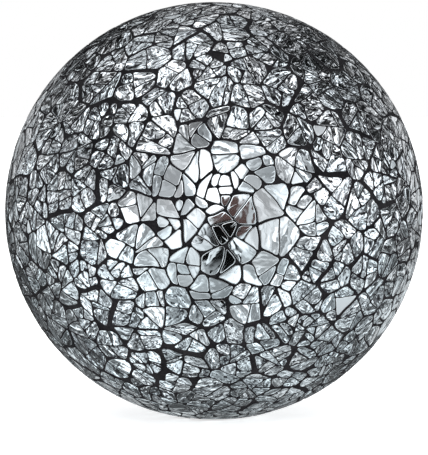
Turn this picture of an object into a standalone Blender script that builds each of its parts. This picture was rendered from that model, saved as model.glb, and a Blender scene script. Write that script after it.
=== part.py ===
"""Mosaic mirror ball: a table ornament 10 cm across.

The ball is one grout-covered body that stands on a small flat spot. Broken mirror glass is set in the
grout. The 59 largest shards are pieces of their own, and each sits in a shallow pocket of the body.

Metres, +Z up. The origin is the centre of the flat spot, and the side that faces -Y is the front.
"""

import math
import random

import bmesh
import bpy
from mathutils import Matrix, Vector

# Driving dimensions
BALL_DIAMETER = 0.100  # over the outermost corners of the glass
FLAT_DIAMETER = 0.012  # the flat spot underneath
GROUT_RECESS = 0.0001  # how far the grouted surface lies below those corners
SHARD_WIDTH = 0.010  # across a middling large shard
GLASS_THICKNESS = 0.0018
RIM_BEVEL = 0.00015  # taken off the rim of a shard's outer face
SEAT_CLEARANCE = 0.0003  # between a shard and its pocket, at the sides and underneath

# How the shards vary and how they are spread
SHARD_COUNT = 59
SHARD_LENGTHS = (0.92, 1.18)  # longest way across, in shard widths
SHARD_SLIMNESS = (0.72, 0.95)  # shortest way across, in its own lengths
SHARD_CORNERS = (5, 6, 7)
CORNER_JITTER = 0.22  # of the step from one corner to the next
SPREAD_TRIES = 400  # random places looked at for each shard that isn't placed by hand
SEED = 11

# Longitude and latitude, in degrees, of the large shards near the middle of the front view
FRONT_SHARDS = (
    (0, 7),
    (-8, -12),
    (17, -4),
    (4, 26),
    (27, -21),
    (4, -31),
    (-20, 3),
    (22, 14),
    (-17, 32),
    (-27, -16),
)

# How finely the turned body is faceted
TURN_STEPS = 64
PROFILE_STEPS = 30

# Sizes that follow from these
BALL_RADIUS = BALL_DIAMETER / 2
GROUT_RADIUS = BALL_RADIUS - GROUT_RECESS
FLAT_RADIUS = FLAT_DIAMETER / 2
CENTRE_HEIGHT = math.sqrt(GROUT_RADIUS**2 - FLAT_RADIUS**2)
BALL_CENTRE = Vector((0, 0, CENTRE_HEIGHT))
MOST_REACH = SHARD_WIDTH * SHARD_LENGTHS[1] / 2  # from a shard's middle to its farthest corner


def clear_scene():
    for obj in list(bpy.data.objects):
        bpy.data.objects.remove(obj, do_unlink=True)


def new_collection(name):
    collection = bpy.data.collections.new(name)
    bpy.context.scene.collection.children.link(collection)
    return collection


def make_material(name, colour, metallic, roughness):
    material = bpy.data.materials.new(name)
    material.use_nodes = True
    shader = material.node_tree.nodes["Principled BSDF"]
    shader.inputs["Base Color"].default_value = (*colour, 1)
    shader.inputs["Metallic"].default_value = metallic
    shader.inputs["Roughness"].default_value = roughness
    return material


def add_object(name, mesh, collection, material=None):
    obj = bpy.data.objects.new(name, mesh)
    collection.objects.link(obj)
    if material:
        mesh.materials.append(material)
    return obj


# The body

def make_body(collection, material):
    """The ball with its flat spot: an arc from the top to the rim of the flat, turned round Z."""
    flat_angle = math.asin(FLAT_RADIUS / GROUT_RADIUS)
    bm = bmesh.new()
    profile = []
    for step in range(PROFILE_STEPS + 1):
        angle = (math.pi - flat_angle) * step / PROFILE_STEPS
        across = GROUT_RADIUS * math.sin(angle)
        height = CENTRE_HEIGHT + GROUT_RADIUS * math.cos(angle)
        profile.append(bm.verts.new((across, 0, height)))
    profile.append(bm.verts.new((0, 0, 0)))
    for upper, lower in zip(profile, profile[1:]):
        bm.edges.new((upper, lower))
    mesh = bpy.data.meshes.new("grout_ball")
    bm.to_mesh(mesh)
    bm.free()

    body = add_object("grout_ball", mesh, collection, material)
    turn = body.modifiers.new("turn", "SCREW")
    turn.axis = "Z"
    turn.steps = TURN_STEPS
    turn.render_steps = TURN_STEPS
    turn.use_merge_vertices = True
    turn.merge_threshold = 0.00001
    turn.use_smooth_shade = True
    return body


# Where the shards lie

def direction(longitude, latitude):
    """Unit vector from the ball's centre. Longitude 0 is the front, and grows to the right."""
    return Vector((
        math.sin(longitude) * math.cos(latitude),
        -math.cos(longitude) * math.cos(latitude),
        math.sin(latitude),
    ))


def random_direction(rng):
    return direction(rng.uniform(-math.pi, math.pi), math.asin(rng.uniform(-1, 1)))


def spread_shards(rng):
    """The front shards by hand, then each next one at the emptiest of some random places."""
    keep_off = math.asin((FLAT_RADIUS + MOST_REACH + 2 * SEAT_CLEARANCE) / BALL_RADIUS)
    lowest = -math.cos(keep_off)
    places = [direction(math.radians(lon), math.radians(lat)) for lon, lat in FRONT_SHARDS]
    while len(places) < SHARD_COUNT:
        tries = [random_direction(rng) for _ in range(SPREAD_TRIES)]
        allowed = [place for place in tries if place.z > lowest]
        places.append(max(allowed, key=lambda place: min(place.angle(other) for other in places)))
    return places


# The shape of a shard

def shard_outline(rng):
    """Corners on an ellipse at uneven angles, so that the outline is always convex."""
    reach = SHARD_WIDTH * rng.uniform(*SHARD_LENGTHS) / 2
    half_width = reach * rng.uniform(*SHARD_SLIMNESS)
    count = rng.choice(SHARD_CORNERS)
    turn = rng.uniform(0, math.tau)
    spin = Matrix.Rotation(rng.uniform(0, math.tau), 2)
    corners = []
    for index in range(count):
        angle = turn + math.tau * (index + rng.uniform(-CORNER_JITTER, CORNER_JITTER)) / count
        corners.append(spin @ Vector((reach * math.cos(angle), half_width * math.sin(angle))))
    return corners


def moved_out(corners, distance):
    """The same outline with every side moved out by the distance."""
    moved = []
    for index, corner in enumerate(corners):
        before = (corner - corners[index - 1]).normalized()
        after = (corners[(index + 1) % len(corners)] - corner).normalized()
        outward = Vector((before.y, -before.x)) + Vector((after.y, -after.x))
        moved.append(corner + outward * (2 * distance / outward.length_squared))
    return moved


def bearing(point):
    return math.atan2(point.y, point.x)


def make_prism(name, corners, top, bottom, rim_bevel=0.0):
    """An upright prism. It starts as a cylinder, whose rings are then put on the outline."""
    bm = bmesh.new()
    bmesh.ops.create_cone(bm, cap_ends=True, segments=len(corners), radius1=1, radius2=1, depth=1)
    upper = [vert for vert in bm.verts if vert.co.z > 0]
    lower = [vert for vert in bm.verts if vert.co.z < 0]
    ordered = sorted(corners, key=bearing)
    for ring, height in ((upper, top), (lower, bottom)):
        for vert, corner in zip(sorted(ring, key=lambda vert: bearing(vert.co)), ordered):
            vert.co = (corner.x, corner.y, height)
    if rim_bevel:
        rim = [edge for edge in bm.edges if all(vert in upper for vert in edge.verts)]
        bmesh.ops.bevel(bm, geom=rim, offset=rim_bevel, segments=1, affect="EDGES")
    mesh = bpy.data.meshes.new(name)
    bm.to_mesh(mesh)
    bm.free()
    return mesh


def seat(place, corners):
    """Places a shard's outline in the ball: its farthest corner is on the ball's outer radius."""
    reach = max(corner.length for corner in corners)
    depth = math.sqrt(BALL_RADIUS**2 - reach**2)
    turned = place.to_track_quat("Z", "Y").to_matrix().to_4x4()
    return Matrix.Translation(BALL_CENTRE + place * depth) @ turned


def make_shards(collection, material, cutters):
    """The shards, and one mesh of all their pockets."""
    rng = random.Random(SEED)
    pockets = bmesh.new()
    for number, place in enumerate(spread_shards(rng), start=1):
        corners = shard_outline(rng)
        seated = seat(place, corners)
        name = f"glass_shard_{number:02d}"
        prism = make_prism(name, corners, 0, -GLASS_THICKNESS, RIM_BEVEL)
        add_object(name, prism, collection, material).matrix_world = seated

        room = moved_out(corners, SEAT_CLEARANCE)
        over = GROUT_RECESS + GLASS_THICKNESS  # well clear of the body's surface
        pocket = make_prism("pocket", room, over, -GLASS_THICKNESS - SEAT_CLEARANCE)
        pocket.transform(seated)
        pockets.from_mesh(pocket)
        bpy.data.meshes.remove(pocket)
    mesh = bpy.data.meshes.new("pockets")
    pockets.to_mesh(mesh)
    pockets.free()
    cutter = add_object("pockets", mesh, cutters)
    cutter.hide_render = True
    cutter.display_type = "WIRE"
    return cutter


def cut_pockets(body, cutter):
    cut = body.modifiers.new("pockets", "BOOLEAN")
    cut.operation = "DIFFERENCE"
    cut.solver = "EXACT"
    cut.object = cutter


def main():
    clear_scene()
    parts = new_collection("mosaic_mirror_ball")
    cutters = new_collection("cutters")
    grout = make_material("dark_grout", (0.022, 0.022, 0.025), metallic=0.0, roughness=0.85)
    glass = make_material("mirror_glass", (0.80, 0.83, 0.85), metallic=1.0, roughness=0.06)
    body = make_body(parts, grout)
    cut_pockets(body, make_shards(parts, glass, cutters))


main()
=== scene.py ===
"""Looks of the mosaic mirror ball: crackled mirror glass set in dark grout, on a pale floor.

Metres, +Z up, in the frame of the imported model. The ball's size and its large shards are read from
there. The rest of the ball is shared out among smaller shards in the same way. Each shard has cracked
into a few pieces of glass, and each piece is a closed mesh with a rounded rim.
"""

import math

import bmesh
import bpy
import numpy as np
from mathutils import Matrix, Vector, noise


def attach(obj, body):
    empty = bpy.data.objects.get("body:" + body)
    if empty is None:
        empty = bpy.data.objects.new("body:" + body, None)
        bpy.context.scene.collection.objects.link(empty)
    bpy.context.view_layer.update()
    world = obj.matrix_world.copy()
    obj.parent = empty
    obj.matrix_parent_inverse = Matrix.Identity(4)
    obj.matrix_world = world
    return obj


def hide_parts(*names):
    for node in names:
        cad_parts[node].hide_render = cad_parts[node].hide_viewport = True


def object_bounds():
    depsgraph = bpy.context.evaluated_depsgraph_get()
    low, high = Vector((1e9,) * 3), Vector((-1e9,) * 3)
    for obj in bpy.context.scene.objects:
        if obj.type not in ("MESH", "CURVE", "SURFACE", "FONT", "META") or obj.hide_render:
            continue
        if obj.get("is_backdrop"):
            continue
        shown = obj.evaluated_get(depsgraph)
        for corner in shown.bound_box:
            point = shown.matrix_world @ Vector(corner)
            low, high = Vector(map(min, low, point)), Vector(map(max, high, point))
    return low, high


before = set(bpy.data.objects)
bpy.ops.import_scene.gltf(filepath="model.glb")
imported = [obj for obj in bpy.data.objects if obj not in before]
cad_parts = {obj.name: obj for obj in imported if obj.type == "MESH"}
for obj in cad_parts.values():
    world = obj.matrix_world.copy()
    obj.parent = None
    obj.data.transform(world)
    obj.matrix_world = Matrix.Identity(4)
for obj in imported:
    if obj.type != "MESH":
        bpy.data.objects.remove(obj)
cad_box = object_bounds()

# The photograph's frame, in pixels, and where the ball is in it
IMAGE_WIDTH = 428
IMAGE_HEIGHT = 455
BALL_X = 214
BALL_Y = 211
BALL_RADIUS_PX = 209.25

CAMERA_DISTANCE = 0.70
CAMERA_ELEVATION = math.radians(2.5)
SENSOR_WIDTH = 36.0  # millimetres, across the long side of the image

# How the glass was laid in shards
SHARD_SPACINGS = (0.0062, 0.0125)  # from one shard to the next
SHARD_TRIES = 15000
RING_OFFSETS = (0.0034, 0.0050)  # from a side of a CAD shard to the middles of its neighbours
RING_STEP = 0.0075
SHARD_REACH = 0.013  # no shard reaches farther than this from its middle
NEIGHBOURS = 24
JOINT_WIDTHS = (0.00018, 0.00125)  # grout between two shards, narrowest and widest
MOST_CORNER_CUT = 0.0020  # off a shard's corners, which makes the wedges of grout

# How the shards have cracked
PIECE_AREAS = (9.5e-6, 25.0e-6)  # a shard cracks until its pieces are about this large
CRACK_WIDTHS = (0.00011, 0.00033)
CRACK_TURN = math.radians(16)  # how far a crack turns from straight across
CRACK_SHIFT = 0.13 # how far off the middle it lies, in the root of the area
SMALLEST_PIECE = 1.3e-6
SMALL_PIECE = 6.0e-6
LEFT_OUT = 0.04  # share of the small pieces that are missing
SHORTEST_SIDE = 0.00035
ROUNDING = 0.00030  # off each corner of a piece
SHARP_CUT = 0.9  # how much more is off a sharp corner
MOST_PIECE_CUT = 0.0011  # more off some of its corners
SIDE_STEP = 0.0009  # between the points along a side
WARP = 0.0005  # how far the cracks and joints wander from straight lines
WARP_LENGTH = 0.0035

# How each piece of glass is made
SHARD_TILT = math.radians(1.3)
PIECE_TILT = math.radians(1.2)
BULGE = 0.85  # how nearly a piece follows the ball between its corners
RIM = (
    # inset and height
    (0.00024, 0.0),
    (0.00012, -0.000003),
    (0.00004, -0.00003),
    (0.0, -0.00011),
    (0.0, -0.0009),
)
CLEAN_RINGS = 2  # of the rim's, counted from the top: the others are smeared with grout
ROOM_FOR_RIM = 0.00045  # area over outline of the narrowest piece that has its rim in full
GLASS_REACH = 0.9986  # corners of the pieces, as a share of the ball's outer radius
GROUT_DEPTH = 0.00015  # how far the grout lies below those corners
MOST_LEAN = 0.00005  # how far a tilt may lift or sink the edge of a piece
PLAIN_SHARES = (0.003, 0.07)  # of the larger and of the small pieces, that have no crumples

PATCHES = ("front", "front_right", "back_right", "back", "back_left", "front_left")
TEXTURE_SIDE = 1024
TEXTURE_GAP = 3  # pixels between the pieces on the texture
WALL_WIDTH = 0.0002  # of a piece's sides on the texture
BASE_CELL = 6  # pixels for the underside of a piece
SEED = 5

CAD_SHARDS = sorted(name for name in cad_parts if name.startswith("glass_shard_"))


# What the frame says about the ball

def mesh_points(name):
    return np.array([vert.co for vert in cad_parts[name].data.vertices], float)


def read_ball():
    """Centre, grouted radius, outer radius and the radius of the flat spot."""
    body = mesh_points("grout_ball")
    top = float(body[:, 2].max())
    foot = body[body[:, 2] < 1e-6]
    flat = float(np.hypot(foot[:, 0], foot[:, 1]).max())
    grouted = (top * top + flat * flat) / (2 * top)
    centre = np.array([0, 0, top - grouted])
    outer = max(np.linalg.norm(mesh_points(name) - centre, axis=1).max() for name in CAD_SHARDS)
    return centre, grouted, float(outer), flat


CENTRE, GROUTED_RADIUS, OUTER_RADIUS, FLAT_RADIUS = read_ball()
GLASS_RADIUS = OUTER_RADIUS * GLASS_REACH


# Outlines in the plane

def clip(polygon, normal, limit):
    """The part of a convex outline where normal . point is at most the limit."""
    kept = []
    for index, here in enumerate(polygon):
        before = polygon[index - 1]
        a = before[0] * normal[0] + before[1] * normal[1] - limit
        b = here[0] * normal[0] + here[1] * normal[1] - limit
        if (a > 0) != (b > 0):
            kept.append(between(before, here, a / (a - b)))
        if b <= 0:
            kept.append(here)
    return kept


def between(start, end, way):
    return start[0] + (end[0] - start[0]) * way, start[1] + (end[1] - start[1]) * way


def area_and_middle(polygon):
    doubled = 0.0
    x = 0.0
    y = 0.0
    for index, here in enumerate(polygon):
        before = polygon[index - 1]
        cross = before[0] * here[1] - before[1] * here[0]
        doubled += cross
        x += (before[0] + here[0]) * cross
        y += (before[1] + here[1]) * cross
    if abs(doubled) < 1e-14:
        return 0.0, (0.0, 0.0)
    return doubled / 2, (x / (3 * doubled), y / (3 * doubled))


def without_short_sides(polygon, shortest):
    kept = []
    for here in polygon:
        if not kept or math.dist(kept[-1], here) > shortest:
            kept.append(here)
    while len(kept) > 3 and math.dist(kept[0], kept[-1]) <= shortest:
        kept.pop()
    return kept


def cut_corners(polygon, amounts):
    """Takes each corner off, at its own distance along both of its sides."""
    made = []
    for index, here in enumerate(polygon):
        for other in (polygon[index - 1], polygon[(index + 1) % len(polygon)]):
            way = min(0.45, amounts[index] / max(math.dist(here, other), 1e-9))
            made.append(between(here, other, way))
    return made


def with_steps(polygon, step):
    """The same outline with points added along its long sides."""
    made = []
    for index, here in enumerate(polygon):
        after = polygon[(index + 1) % len(polygon)]
        count = max(1, round(math.dist(here, after) / step))
        made += [between(here, after, way / count) for way in range(count)]
    return made


def sharpness(polygon):
    """For each corner, up to 1 where it is sharp, and 0 where it is square or blunt."""
    found = []
    for index, here in enumerate(polygon):
        before = polygon[index - 1]
        after = polygon[(index + 1) % len(polygon)]
        along = (before[0] - here[0]) * (after[0] - here[0]) + (before[1] - here[1]) * (after[1] - here[1])
        found.append(max(0.0, along / (math.dist(before, here) * math.dist(after, here))))
    return np.array(found)


def rounded(polygon, amounts):
    """Corners cut off, and then the corners that this leaves."""
    once = cut_corners(polygon, amounts)
    return cut_corners(once, [0.35 * amounts[index // 2] for index in range(len(once))])


def long_axis(polygon):
    """The direction in which an outline is longest."""
    _, (x, y) = area_and_middle(polygon)
    squares = sum((cx - x) ** 2 - (cy - y) ** 2 for cx, cy in polygon)
    product = sum(2 * (cx - x) * (cy - y) for cx, cy in polygon)
    return math.atan2(product, squares) / 2


def moved_in(polygon, distance):
    """The same number of corners, each moved in from both its sides. A negative distance moves out."""
    made = []
    for index, here in enumerate(polygon):
        before = polygon[index - 1]
        after = polygon[(index + 1) % len(polygon)]
        ax, ay = here[0] - before[0], here[1] - before[1]
        bx, by = after[0] - here[0], after[1] - here[1]
        a = math.hypot(ax, ay) or 1e-9
        b = math.hypot(bx, by) or 1e-9
        inward = (-ay / a - by / b, ax / a + bx / b)
        scale = 2 * distance / max(inward[0] ** 2 + inward[1] ** 2, 0.5)
        made.append((here[0] + inward[0] * scale, here[1] + inward[1] * scale))
    return made


def hull_of(points):
    """Convex outline of points in the plane, anticlockwise."""
    ordered = sorted(set(points))
    outline = []
    for run in (ordered, ordered[::-1]):
        half = []
        for point in run:
            while len(half) > 1:
                (ax, ay), (bx, by) = half[-2], half[-1]
                if (bx - ax) * (point[1] - ay) - (by - ay) * (point[0] - ax) > 1e-12:
                    break
                half.pop()
            half.append(point)
        outline += half[:-1]
    return outline


# Directions on the ball

def unit(vector):
    return vector / np.linalg.norm(vector)


def warped(ray):
    """The same wander for every outline that passes here, so that neighbours stay apart."""
    wander = noise.noise_vector(Vector(ray) * (OUTER_RADIUS / WARP_LENGTH))
    return unit(ray + np.array(wander) * (WARP / OUTER_RADIUS))


class Tangent:
    """The plane that touches the ball in one direction. Straight lines in it are great circles."""

    def __init__(self, out):
        self.out = out
        right = np.array([-out[1], out[0], 0.0])
        self.right = unit(right) if np.linalg.norm(right) > 1e-6 else np.array([1.0, 0.0, 0.0])
        self.up = np.cross(out, self.right)

    def ray(self, point):
        return unit(OUTER_RADIUS * self.out + point[0] * self.right + point[1] * self.up)

    def warped(self, outline):
        return [self.flat(warped(self.ray(corner))) for corner in outline]

    def flat(self, ray):
        scale = OUTER_RADIUS / (ray @ self.out)
        return float(ray @ self.right) * scale, float(ray @ self.up) * scale

    def clip(self, polygon, normal, limit):
        """Clips an outline by a plane in space: what is kept has normal . point at most the limit."""
        x, y = normal @ self.right, normal @ self.up
        length = math.hypot(x, y)
        if length < 1e-9 or len(polygon) < 3:
            return polygon
        return clip(polygon, (x / length, y / length), (limit - OUTER_RADIUS * (normal @ self.out)) / length)


# The shards: the large ones as the frame holds them, the others from random middles

def read_shard(name):
    """A CAD shard: its tangent plane, its outline there, and its sides as planes through the centre."""
    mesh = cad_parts[name].data
    points = mesh_points(name) - CENTRE
    rough = unit(points.mean(axis=0))
    top = max(mesh.polygons, key=lambda poly: poly.area * (np.dot(poly.normal, rough) > 0.97))
    plane = Tangent(unit(np.array(top.normal, float)))
    outline = hull_of([(round(float(p @ plane.right), 7), round(float(p @ plane.up), 7)) for p in points])
    outline = without_short_sides(outline, 0.0002)
    reach = max(math.hypot(*corner) for corner in outline)
    depth = math.sqrt(OUTER_RADIUS**2 - reach**2)
    rays = [unit(depth * plane.out + x * plane.right + y * plane.up) for x, y in outline]
    sides = [unit(np.cross(after, here)) for here, after in zip(rays, rays[1:] + rays[:1])]
    return {"name": name, "plane": plane, "rays": rays, "sides": sides, "reach": reach,
            "outline": [plane.flat(ray) for ray in rays]}


def outside_by(shard, rays):
    """How far each direction lies outside a shard, by its farthest side. It is negative inside."""
    rays = np.atleast_2d(rays)
    away = OUTER_RADIUS * np.stack([rays @ normal for normal in shard["sides"]])
    away[:, rays @ shard["plane"].out < 0] = OUTER_RADIUS
    return away.max(axis=0), away.argmax(axis=0)


def frontal(ray):
    """1 in the middle of the front, where the glass lies closest and is crumpled least, and 0 outside."""
    return min(1.0, max(0.0, (-ray[1] - 0.84) / 0.13))


def clear_of(shards, rays, margin):
    free = np.ones(len(rays), bool)
    for shard in shards:
        free &= outside_by(shard, rays)[0] > margin
    return free


def ring_middles(shards, rng):
    """Middles for the shards that lie along the sides of each CAD shard, so that they fit round it."""
    middles = []
    for shard in shards:
        for index, normal in enumerate(shard["sides"]):
            here = shard["rays"][index]
            after = shard["rays"][(index + 1) % len(shard["rays"])]
            count = max(1, round(np.linalg.norm(after - here) * OUTER_RADIUS / RING_STEP))
            for step in range(count):
                along = here + (after - here) * (step + rng.uniform(0.4, 0.6)) / count
                ray = unit(OUTER_RADIUS * unit(along) + normal * rng.uniform(*RING_OFFSETS))
                if not clear_of(shards, ray[None], 0.0015)[0]:
                    continue
                if all(np.linalg.norm(ray - other) * OUTER_RADIUS > 0.0036 for other in middles):
                    middles.append(ray)
    return middles


def spread_middles(shards, rng):
    """The ring middles, and random ones wherever there is room."""
    start = ring_middles(shards, rng)
    z = rng.uniform(-1, 1, SHARD_TRIES)
    turn = rng.uniform(-math.pi, math.pi, SHARD_TRIES)
    flat = np.sqrt(1 - z * z)
    rays = np.stack([flat * np.cos(turn), flat * np.sin(turn), z], 1)
    rays = rays[clear_of(shards, rays, 0.0024)]
    widths = rng.uniform(*SHARD_SPACINGS, len(rays))
    kept = np.concatenate([start, np.zeros_like(rays)])
    kept_widths = np.full(len(kept), SHARD_SPACINGS[0])
    count = len(start)
    for ray, width in zip(rays, widths):
        apart = np.linalg.norm(kept[:count] - ray, axis=1) * OUTER_RADIUS
        if (apart > (kept_widths[:count] + width) / 2).all():
            kept[count] = ray
            kept_widths[count] = width
            count += 1
    return kept[:count], kept_widths[:count]


def lay_shards(rng):
    """Every shard of the ball: its tangent plane and its outline, with grout left all round."""
    cad = [read_shard(name) for name in CAD_SHARDS]
    rays, widths = spread_middles(cad, rng)
    nearest = np.argsort(-(rays @ rays.T), axis=1)[:, 1 : NEIGHBOURS + 1]
    joints = {}
    laid = [{"plane": shard["plane"], "outline": shard["outline"], "cad": shard["name"]} for shard in cad]
    for index, ray in enumerate(rays):
        plane = Tangent(ray)
        outline = [
            (SHARD_REACH * math.cos(math.tau * step / 20), SHARD_REACH * math.sin(math.tau * step / 20))
            for step in range(20)
        ]
        for other in nearest[index]:
            pair = (min(index, other), max(index, other))
            if pair not in joints:
                spread = rng.uniform() ** 3 * (1 - 0.75 * frontal(ray))
                joints[pair] = JOINT_WIDTHS[0] + (JOINT_WIDTHS[1] - JOINT_WIDTHS[0]) * spread
            apart = rays[other] - ray
            distance = np.linalg.norm(apart)
            bias = (widths[index] ** 2 - widths[other] ** 2) / (12 * distance * OUTER_RADIUS)
            outline = plane.clip(outline, apart / distance, bias - joints[pair] / 2)
        for shard in cad:
            if ray @ shard["plane"].out < math.cos((shard["reach"] + SHARD_REACH) / OUTER_RADIUS):
                continue
            side = outside_by(shard, ray)[1][0]
            widest = 0.0006 * (1 - 0.5 * frontal(ray))
            outline = plane.clip(outline, -shard["sides"][side], -rng.uniform(JOINT_WIDTHS[0], widest))
        outline = without_short_sides(outline, SHORTEST_SIDE)
        if len(outline) < 3:
            continue
        amounts = MOST_CORNER_CUT * (1 - 0.6 * frontal(ray)) * rng.uniform(size=len(outline)) ** 3
        outline = cut_corners(outline, amounts)
        laid.append({"plane": plane, "outline": without_short_sides(outline, 0.00025), "cad": None})
    return laid


# The pieces that a shard has cracked into

def crack(outline, widest, rng):
    """Cracks an outline across its length, and then the parts, until each is small."""
    most = rng.uniform(*PIECE_AREAS)
    waiting = [outline]
    pieces = []
    while waiting:
        piece = without_short_sides(waiting.pop(), SHORTEST_SIDE)
        area, (x, y) = area_and_middle(piece)
        if len(piece) < 3 or area < SMALLEST_PIECE:
            continue
        if area < most * rng.uniform(0.7, 1.5):
            pieces.append(piece)
            continue
        turn = long_axis(piece) + rng.normal(0, CRACK_TURN)
        nx, ny = math.cos(turn), math.sin(turn)
        place = nx * x + ny * y + rng.normal(0, CRACK_SHIFT) * math.sqrt(area)
        gap = CRACK_WIDTHS[0] + (widest - CRACK_WIDTHS[0]) * rng.uniform() ** 2
        waiting.append(clip(piece, (nx, ny), place - gap / 2))
        waiting.append(clip(piece, (-nx, -ny), -place - gap / 2))
    return pieces


# The meshes of the glass

class Patch:
    """One mesh of many closed pieces of glass, with what their material reads."""

    def __init__(self, name):
        self.name = name
        self.points = []
        self.faces = []
        self.smooth = []
        self.foil = []
        self.traits = []
        self.smeared = []
        self.outlines = []
        self.replaced = set()

    def add_piece(self, plane, outline, tilt, traits):
        """A domed face, a rounded rim, sides that go down into the grout, and an underside."""
        area, middle = area_and_middle(outline)
        around = sum(math.dist(here, outline[index - 1]) for index, here in enumerate(outline))
        room = min(1.0, area / around / ROOM_FOR_RIM)
        flats = [[middle]] + [moved_in(outline, inset * room) for inset, _ in RIM]
        heights = [0.0] + [height for _, height in RIM]
        facing = plane.ray(middle)
        depth = GLASS_RADIUS * min(plane.ray(corner) @ facing for corner in outline)
        turn = traits["turn"]
        points = []
        for flat, height in zip(flats, heights):
            for x, y in flat:
                ray = plane.ray((x, y))
                level = depth / (ray @ facing)
                level += BULGE * (1 - 0.8 * frontal(facing)) * (GLASS_RADIUS - level)
                level += tilt[0] * (x - middle[0]) + tilt[1] * (y - middle[1])
                points.append(tuple(CENTRE + ray * (level + height)))
        if min(point[2] for point in points) < 0:
            return False
        start = len(self.points)
        count = len(outline)
        self.points += points
        for x, y in (point for flat in flats for point in flat):
            u = (x * math.cos(turn) + y * math.sin(turn)) * 1000
            v = (y * math.cos(turn) - x * math.sin(turn)) * 1000
            self.foil.append((u, v, traits["phase"]))
            self.traits.append((traits["crumple"], traits["tone"], traits["tint"]))
        clean = 1 + CLEAN_RINGS * count
        self.smeared += [0.0] * clean + [1.0] * (len(points) - clean)
        for step in range(count):
            self.faces.append([start, start + 1 + step, start + 1 + (step + 1) % count])
            self.smooth.append(True)
        for level in range(len(RIM) - 1):
            high = start + 1 + level * count
            low = high + count
            for step in range(count):
                after = (step + 1) % count
                self.faces.append([high + step, low + step, low + after, high + after])
                self.smooth.append(level < len(RIM) - 2)
        self.faces.append([low + step for step in reversed(range(count))])
        self.smooth.append(False)
        flats[-1] = moved_in(outline, -WALL_WIDTH)
        self.outlines.append(flats)
        return True

    def texture_places(self):
        """A place on the texture for every corner of every face, in the order of the faces."""
        islands = []
        for flats in self.outlines:
            low = [min(corner[axis] for corner in flats[-1]) for axis in (0, 1)]
            high = [max(corner[axis] for corner in flats[-1]) for axis in (0, 1)]
            upright = high[1] - low[1] > high[0] - low[0]
            if upright:
                flats = [[(y, -x) for x, y in flat] for flat in flats]
                low, high = (low[1], -high[0]), (high[1], -low[0])
            islands.append((flats, low, (high[0] - low[0], high[1] - low[1])))
        in_a_row = TEXTURE_SIDE // BASE_CELL
        base_height = BASE_CELL * math.ceil(len(islands) / in_a_row)
        scale = 20000.0
        height = TEXTURE_SIDE
        while height > TEXTURE_SIDE - base_height:
            scale *= 0.985
            places, height = on_shelves([(w * scale, h * scale) for _, _, (w, h) in islands])
        found = []
        for index, ((flats, low, size), (px, py)) in enumerate(zip(islands, places)):
            rings = [
                [(px + (x - low[0]) * scale, base_height + py + (y - low[1]) * scale) for x, y in flat]
                for flat in flats
            ]
            (middle,), *rings = rings
            count = len(rings[0])
            for step in range(count):
                found += [middle, rings[0][step], rings[0][(step + 1) % count]]
            for high_ring, low_ring in zip(rings, rings[1:]):
                for step in range(count):
                    after = (step + 1) % count
                    found += [high_ring[step], low_ring[step], low_ring[after], high_ring[after]]
            cell = (index % in_a_row * BASE_CELL, index // in_a_row * BASE_CELL)
            shrink = (BASE_CELL - 2) / max(size)
            for x, y in reversed(flats[-1]):
                found.append((cell[0] + 1 + (x - low[0]) * shrink, cell[1] + 1 + (y - low[1]) * shrink))
        return [value / TEXTURE_SIDE for place in found for value in place], scale

    def make_object(self, material):
        mesh = bpy.data.meshes.new(self.name)
        mesh.from_pydata(self.points, [], self.faces)
        mesh.polygons.foreach_set("use_smooth", self.smooth)
        for name, values in (("foil", self.foil), ("traits", self.traits)):
            attribute = mesh.attributes.new(name, "FLOAT_VECTOR", "POINT")
            attribute.data.foreach_set("vector", [value for point in values for value in point])
        mesh.attributes.new("smeared", "FLOAT", "POINT").data.foreach_set("value", self.smeared)
        places, _ = self.texture_places()
        mesh.uv_layers.new(name="OFBake").uv.foreach_set("vector", places)
        mesh.materials.append(material)
        mesh.update()
        obj = bpy.data.objects.new(self.name, mesh)
        bpy.context.scene.collection.objects.link(obj)
        return obj


def on_shelves(sizes):
    """Packs boxes row by row, the tallest first. Gives their corners and the height that they take."""
    places = [None] * len(sizes)
    x = TEXTURE_GAP
    y = TEXTURE_GAP
    shelf = 0.0
    for index in sorted(range(len(sizes)), key=lambda index: -sizes[index][1]):
        width, height = sizes[index]
        if x + width + TEXTURE_GAP > TEXTURE_SIDE:
            x = TEXTURE_GAP
            y += shelf + TEXTURE_GAP
            shelf = 0.0
        places[index] = (x, y)
        x += width + TEXTURE_GAP
        shelf = max(shelf, height)
    return places, y + shelf + TEXTURE_GAP


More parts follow.
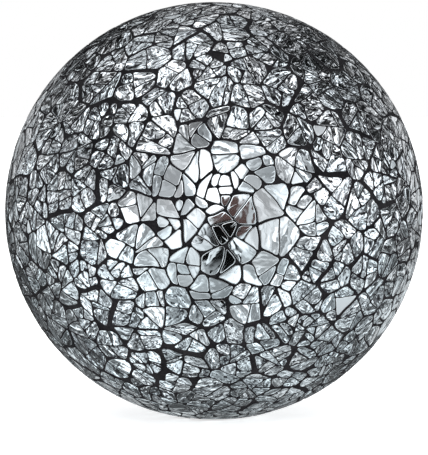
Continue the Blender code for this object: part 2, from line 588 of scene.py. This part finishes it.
def build_patches():
    rng = np.random.default_rng(SEED)
    patches = [Patch(f"mosaic_glass_{name}") for name in PATCHES]
    total = 0
    for shard in lay_shards(rng):
        plane = shard["plane"]
        heading = math.atan2(plane.out[0], -plane.out[1])
        patch = patches[round(heading / math.tau * len(PATCHES)) % len(PATCHES)]
        if shard["cad"]:
            patch.replaced.add(shard["cad"])
        lean = rng.normal(0, SHARD_TILT, 2)
        calm = frontal(plane.out)
        # Less crumple toward the front, where the camera is, also means less painted shade on the foil there
        crumple = rng.uniform(0.55, 1.0) * (1 - 0.86 * calm)
        for outline in crack(shard["outline"], CRACK_WIDTHS[1] * (1 - 0.35 * calm), rng):
            small = area_and_middle(outline)[0] < SMALL_PIECE
            if small and rng.uniform() < LEFT_OUT:
                continue
            plain = rng.uniform() < PLAIN_SHARES[small]
            amounts = ROUNDING * rng.uniform(0.6, 1.2, len(outline)) * (1 + SHARP_CUT * sharpness(outline))
            amounts += MOST_PIECE_CUT * rng.uniform(size=len(outline)) ** 5
            outline = plane.warped(with_steps(rounded(outline, amounts), SIDE_STEP))
            reach = max(math.dist(corner, area_and_middle(outline)[1]) for corner in outline)
            tilt = (lean + rng.normal(0, PIECE_TILT, 2)) * (1 - 0.6 * calm)
            tilt *= min(1.0, MOST_LEAN / (reach * max(np.linalg.norm(tilt), 1e-6)))
            traits = {
                "turn": long_axis(outline) + rng.normal(0, 0.25),
                "phase": rng.uniform(0, 900),
                "crumple": 0.02 if plain else crumple * rng.uniform(0.6, 1.15),
                "tone": rng.uniform(),
                "tint": rng.uniform(),
            }
            total += patch.add_piece(plane, outline, tilt, traits)
    print("pieces of glass", total)
    return patches


# The grout

def make_grout(material):
    """A fine ball that replaces the CAD one: slightly uneven, and flat underneath."""
    bm = bmesh.new()
    bmesh.ops.create_icosphere(bm, subdivisions=7, radius=1)
    radius = GLASS_RADIUS - GROUT_DEPTH
    for vert in bm.verts:
        out = vert.co.normalized()
        uneven = noise.noise(out * 22) * 0.00002 + noise.noise(out * 90) * 0.00002
        foot = max(0.0, min(1.0, (-out.z - 0.95) / 0.03))
        level = radius - 1.3 * GROUT_DEPTH * frontal(out) + uneven
        point = out * (level + (GROUTED_RADIUS - level) * foot)
        vert.co = (point.x, point.y, max(point.z + CENTRE[2], 0.0))
    mesh = bpy.data.meshes.new("grout")
    bm.to_mesh(mesh)
    bm.free()
    mesh.shade_smooth()
    mesh.materials.append(material)
    obj = bpy.data.objects.new("grout", mesh)
    bpy.context.scene.collection.objects.link(obj)
    return obj


# Materials

class Nodes:
    """A material's or world's node tree, with short ways to add to it."""

    def __init__(self, tree):
        self.tree = tree

    def add(self, kind, _sockets=None, **settings):
        """Adds a node with these settings. Sockets are given by name or number: a value or an output."""
        made = self.tree.nodes.new(kind)
        for name, value in settings.items():
            setattr(made, name, value)
        for name, value in (_sockets or {}).items():
            if isinstance(value, bpy.types.NodeSocket):
                self.tree.links.new(value, made.inputs[name])
            else:
                made.inputs[name].default_value = value
        return made

    def math(self, operation, a, b=0.0, clamp=False):
        return self.add("ShaderNodeMath", {0: a, 1: b}, operation=operation, use_clamp=clamp).outputs[0]

    def vector(self, operation, a, b=(0.0, 0.0, 0.0)):
        return self.add("ShaderNodeVectorMath", {0: a, 1: b}, operation=operation).outputs[0]

    def scaled(self, vector, factor):
        return self.add("ShaderNodeVectorMath", {0: vector, "Scale": factor}, operation="SCALE").outputs[0]

    def dot(self, a, b):
        made = self.add("ShaderNodeVectorMath", {0: a, 1: b}, operation="DOT_PRODUCT")
        return made.outputs["Value"]

    def between(self, value, low, high):
        """0 up to low, 1 from high on, and smooth in between."""
        sockets = {"Value": value, "From Min": low, "From Max": high}
        return self.add("ShaderNodeMapRange", sockets, interpolation_type="SMOOTHSTEP").outputs[0]

    def mix(self, factor, a, b):
        sockets = {"Factor": factor, "A": a, "B": b}
        made = self.add("ShaderNodeMix", data_type="RGBA")
        for name, value in sockets.items():
            socket = next(one for one in made.inputs if one.name == name and one.enabled)
            if isinstance(value, bpy.types.NodeSocket):
                self.tree.links.new(value, socket)
            else:
                socket.default_value = value
        return next(one for one in made.outputs if one.enabled)

    def noise(self, vector, scale, detail=2.0, roughness=0.5, distortion=0.0):
        sockets = {"Vector": vector, "Scale": scale, "Detail": detail, "Roughness": roughness,
                   "Distortion": distortion}
        return self.add("ShaderNodeTexNoise", sockets)


def new_material(name):
    material = bpy.data.materials.new(name)
    material.use_nodes = True
    return material, Nodes(material.node_tree), material.node_tree.nodes["Principled BSDF"]


def glass_material():
    """Mirror foil under clear glass: smooth outside, crumpled underneath."""
    material, nodes, shader = new_material("crackled_mirror_glass")
    link = material.node_tree.links.new
    foil = nodes.add("ShaderNodeAttribute", attribute_name="foil").outputs["Vector"]
    traits = nodes.add("ShaderNodeAttribute", attribute_name="traits").outputs["Vector"]
    crumple, tone, tint = nodes.add("ShaderNodeSeparateXYZ", {0: traits}).outputs

    # Everything below is drawn out along the streaks, which bend a little
    bend = nodes.vector("SUBTRACT", nodes.noise(foil, 0.45, 1.0).outputs["Color"], (0.5, 0.5, 0.5))
    bent = nodes.vector("ADD", foil, nodes.scaled(bend, 1.7))
    fineness = nodes.math("MULTIPLY_ADD", crumple, 0.60)
    fineness.node.inputs[2].default_value = 0.45
    streaky = nodes.scaled(nodes.vector("MULTIPLY", bent, (0.25, 1.20, 1.0)), fineness)
    cells = nodes.add("ShaderNodeTexVoronoi", {"Vector": streaky, "Scale": 1.0})
    edges = nodes.add("ShaderNodeTexVoronoi", {"Vector": streaky, "Scale": 1.0}, feature="DISTANCE_TO_EDGE")
    swells = nodes.noise(nodes.vector("MULTIPLY", streaky, (0.8, 0.8, 1.0)), 1.0, 1.0, 0.5, 0.3)
    buckle = nodes.noise(nodes.vector("MULTIPLY", foil, (0.12, 0.26, 1.0)), 1.0, 0.0)

    # Facets lean each their own way, and swells run over them
    lean = nodes.vector("SUBTRACT", cells.outputs["Color"], (0.5, 0.5, 0.5))
    lean = nodes.scaled(lean, nodes.math("MULTIPLY", crumple, 0.60))
    height = nodes.math("MULTIPLY_ADD", buckle.outputs["Fac"], 1.2)
    link(swells.outputs["Fac"], height.node.inputs[2])
    height = nodes.math("MULTIPLY", height, crumple)
    bump = nodes.add("ShaderNodeBump", {"Height": height, "Strength": 1.0, "Distance": 0.0005})
    normal = nodes.vector("ADD", bump.outputs["Normal"], lean)
    link(nodes.vector("NORMALIZE", normal), shader.inputs["Normal"])

    # Painted shade: creases of the foil and some of its facets are painted darker, where they would be in
    # shade, and each piece has its own tone
    # painted shade in the creases of the foil
    painted_crease_shade = nodes.between(edges.outputs["Distance"], 0.13, 0.03)
    patchy = nodes.between(nodes.noise(foil, 0.8).outputs["Fac"], 0.42, 0.52)
    painted_crease_shade = nodes.math("MULTIPLY", nodes.math("MULTIPLY", painted_crease_shade, patchy), crumple)
    # painted shade on facets: some are darker, as if tilted away from the light
    shade = nodes.add("ShaderNodeSeparateXYZ", {0: cells.outputs["Color"]}).outputs[0]
    shade = nodes.math("MULTIPLY", nodes.between(shade, 0.75, 0.0), crumple)
    shade = nodes.math("MULTIPLY", shade, 0.85)
    painted_shade_and_specks = nodes.math("MAXIMUM", shade, nodes.math("MULTIPLY", painted_crease_shade, 0.95))

    # Thin wrinkles wander along the streaks, painted dark as painted shade, and specks of the foil have come
    # off
    wander = nodes.noise(nodes.vector("MULTIPLY", streaky, (0.9, 0.62, 1.0)), 1.0, 1.0, 0.5, 0.5)
    wander = nodes.math("ABSOLUTE", nodes.math("SUBTRACT", wander.outputs["Fac"], 0.5))
    # painted shade along the wrinkles
    painted_wrinkle_shade = nodes.math("MULTIPLY", nodes.between(wander, 0.032, 0.016), patchy)
    specks = nodes.between(nodes.noise(bent, 0.9, 1.0, 0.5).outputs["Fac"], 0.63, 0.66)
    # painted shade of the wrinkles, together with the real specks where the foil is gone
    wrinkle_shade_and_specks = nodes.math("MULTIPLY", nodes.math("MAXIMUM", painted_wrinkle_shade, specks), nodes.between(crumple, 0.15, 0.50))
    painted_shade_and_specks = nodes.math("MAXIMUM", painted_shade_and_specks, wrinkle_shade_and_specks)
    light = nodes.mix(tint, (0.87, 0.90, 0.92, 1), (0.80, 0.88, 0.92, 1))
    light = nodes.mix(nodes.math("MULTIPLY", tone, 0.35), light, (0.34, 0.36, 0.38, 1))
    # The foil goes to this dark colour where shade is painted, and where specks of it have come off
    foil_colour = nodes.mix(painted_shade_and_specks, light, (0.045, 0.048, 0.055, 1))

    # The grout is smeared up the sides of each piece
    smeared = nodes.add("ShaderNodeAttribute", attribute_name="smeared").outputs["Fac"]
    link(nodes.mix(smeared, foil_colour, (0.009, 0.009, 0.010, 1)), shader.inputs["Base Color"])
    link(nodes.math("SUBTRACT", 1.0, smeared), shader.inputs["Metallic"])
    plain = nodes.between(crumple, 0.035, 0.025)
    rough = nodes.math("MAXIMUM", nodes.math("MULTIPLY", smeared, 0.85), nodes.math("MULTIPLY", plain, 0.38))
    link(nodes.math("MAXIMUM", rough, 0.07), shader.inputs["Roughness"])

    shader.inputs["Specular IOR Level"].default_value = 0.2
    shader.inputs["Coat Weight"].default_value = 0.12
    shader.inputs["Coat Roughness"].default_value = 0.02
    shader.inputs["Coat IOR"].default_value = 1.5
    return material


def grout_material():
    material, nodes, shader = new_material("dark_grout")
    link = material.node_tree.links.new
    place = nodes.add("ShaderNodeTexCoord").outputs["Object"]
    grain = nodes.noise(place, 2600.0, 3.0, 0.6).outputs["Fac"]
    cloud = nodes.noise(place, 160.0, 3.0).outputs["Fac"]
    tone = nodes.between(nodes.math("ADD", grain, cloud), 0.7, 1.3)
    link(nodes.mix(tone, (0.005, 0.005, 0.006, 1), (0.020, 0.019, 0.021, 1)), shader.inputs["Base Color"])
    bump = nodes.add("ShaderNodeBump", {"Height": grain, "Strength": 0.5, "Distance": 0.00004})
    link(bump.outputs["Normal"], shader.inputs["Normal"])
    shader.inputs["Roughness"].default_value = 0.9
    shader.inputs["Specular IOR Level"].default_value = 0.1
    return material


# Camera, floor and light

def add_camera():
    """The ball's middle is above the image's, so the camera aims a little below it."""
    data = bpy.data.cameras.new("camera")
    camera = bpy.data.objects.new("camera", data)
    bpy.context.scene.collection.objects.link(camera)
    long_side = max(IMAGE_WIDTH, IMAGE_HEIGHT)
    seen = OUTER_RADIUS / math.sqrt(CAMERA_DISTANCE**2 - OUTER_RADIUS**2)
    data.sensor_width = SENSOR_WIDTH
    data.lens = SENSOR_WIDTH * BALL_RADIUS_PX / (long_side * seen)
    per_pixel = SENSOR_WIDTH / long_side / data.lens
    drop = math.atan((IMAGE_HEIGHT / 2 - BALL_Y) * per_pixel)
    back = Vector((0, -math.cos(CAMERA_ELEVATION), math.sin(CAMERA_ELEVATION)))
    camera.location = Vector(CENTRE) + back * CAMERA_DISTANCE
    camera.rotation_euler = (math.pi / 2 - CAMERA_ELEVATION - drop, 0, 0)
    data.clip_start = 0.01
    data.clip_end = 50
    bpy.context.scene.camera = camera


def add_floor():
    """A wide white floor: bright enough to show no horizon, with a faint shadow under the ball."""
    bm = bmesh.new()
    bmesh.ops.create_circle(bm, cap_ends=True, segments=64, radius=6.0)
    mesh = bpy.data.meshes.new("floor")
    bm.to_mesh(mesh)
    bm.free()
    floor = bpy.data.objects.new("floor", mesh)
    bpy.context.scene.collection.objects.link(floor)
    material, nodes, shader = new_material("pale_floor")
    shader.inputs["Base Color"].default_value = (0.85, 0.85, 0.85, 1)
    shader.inputs["Roughness"].default_value = 0.9
    shader.inputs["Emission Color"].default_value = (1, 1, 1, 1)
    shader.inputs["Emission Strength"].default_value = 0.72
    mesh.materials.append(material)
    floor.visible_glossy = False
    floor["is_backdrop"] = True


def make_world():
    """White to the camera. What the glass reflects is a bright front with softer sides and back."""
    world = bpy.data.worlds.new("studio")
    bpy.context.scene.world = world
    world.use_nodes = True
    nodes = Nodes(world.node_tree)
    link = world.node_tree.links.new
    background = world.node_tree.nodes["Background"]
    way = nodes.add("ShaderNodeTexCoord").outputs["Generated"]

    facing = nodes.dot(way, (0.0, -1.0, 0.0))
    level = nodes.add("ShaderNodeValToRGB", {"Fac": nodes.math("MULTIPLY_ADD", facing, 0.5)})
    level.inputs["Fac"].links[0].from_node.inputs[2].default_value = 0.5
    ramp = level.color_ramp
    stops = ((0.0, 0.18), (0.2, 0.27), (0.36, 0.58), (0.5, 0.78), (0.75, 0.89), (0.92, 0.64), (1.0, 0.92))
    ramp.elements[0].position, ramp.elements[1].position = stops[0][0], stops[-1][0]
    for position, _ in stops[1:-1]:
        ramp.elements.new(position)
    for element, (_, grey) in zip(ramp.elements, stops):
        element.color = (grey, grey * 1.01, grey * 1.03, 1)

    clouds = nodes.noise(way, 3.4, 3.0, 0.55, 0.5).outputs["Fac"]
    behind = nodes.between(facing, -0.1, -0.6)
    sharper = nodes.math("MULTIPLY_ADD", behind, 1.3)
    sharper.node.inputs[2].default_value = 1.7
    stronger = nodes.math("MULTIPLY_ADD", behind, 2.2)
    stronger.node.inputs[2].default_value = 3.8
    contrast = nodes.math("POWER", nodes.between(clouds, 0.38, 0.64), sharper)
    frontal = nodes.between(facing, 0.45, 0.93)
    swing = nodes.math("MULTIPLY_ADD", contrast, stronger)
    swing.node.inputs[2].default_value = 0.04
    below = nodes.between(nodes.dot(way, (0.0, 0.0, -1.0)), -0.3, 0.5)
    calm = nodes.math("MAXIMUM", nodes.math("MULTIPLY", frontal, 0.7), nodes.math("MULTIPLY", below, 0.4))
    steady = nodes.mix(calm, swing, (1, 1, 1, 1))

    def blob(middle, half_sizes):
        """1 inside an ellipse of directions, 0 outside, and soft at its edge."""
        place = nodes.vector("DIVIDE", nodes.vector("SUBTRACT", way, middle), half_sizes)
        distance = nodes.add("ShaderNodeVectorMath", {0: place}, operation="LENGTH").outputs["Value"]
        return nodes.between(distance, 1.0, 0.85)

    total = nodes.vector("MULTIPLY", level.outputs["Color"], steady)
    total = nodes.vector("MULTIPLY", total, nodes.mix(below, (1, 1, 1, 1), (1.06, 1.12, 1.13, 1)))
    key = blob((0.02, -0.93, 0.34), (0.26, 0.6, 0.28))
    total = nodes.vector("ADD", total, nodes.scaled((1.1, 1.1, 1.1), key))
    total = nodes.mix(blob((0.16, -0.98, -0.04), (0.21, 0.6, 0.20)), total, (0.11, 0.065, 0.058, 1))
    total = nodes.mix(blob((0.08, -0.97, -0.28), (0.19, 0.6, 0.24)), total, (0.004, 0.004, 0.004, 1))
    link(total, background.inputs["Color"])

    white = nodes.add("ShaderNodeBackground", {"Color": (1, 1, 1, 1), "Strength": 1.0})
    path = nodes.add("ShaderNodeLightPath")
    mix = nodes.add("ShaderNodeMixShader", {0: path.outputs["Is Camera Ray"]})
    link(background.outputs[0], mix.inputs[1])
    link(white.outputs[0], mix.inputs[2])
    link(mix.outputs[0], world.node_tree.nodes["World Output"].inputs["Surface"])


def main():
    bpy.context.scene.view_settings.view_transform = "Standard"
    add_camera()
    glass = glass_material()
    for patch in build_patches():
        obj = patch.make_object(glass)
        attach(obj, "root")
        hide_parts(*sorted(patch.replaced))
    grout = make_grout(grout_material())
    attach(grout, "root")
    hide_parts("grout_ball")
    add_floor()
    make_world()


main()

visual_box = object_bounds()
boxes = {"cad": cad_box, "visual": visual_box}
{name: [list(corner) for corner in box] for name, box in boxes.items()}
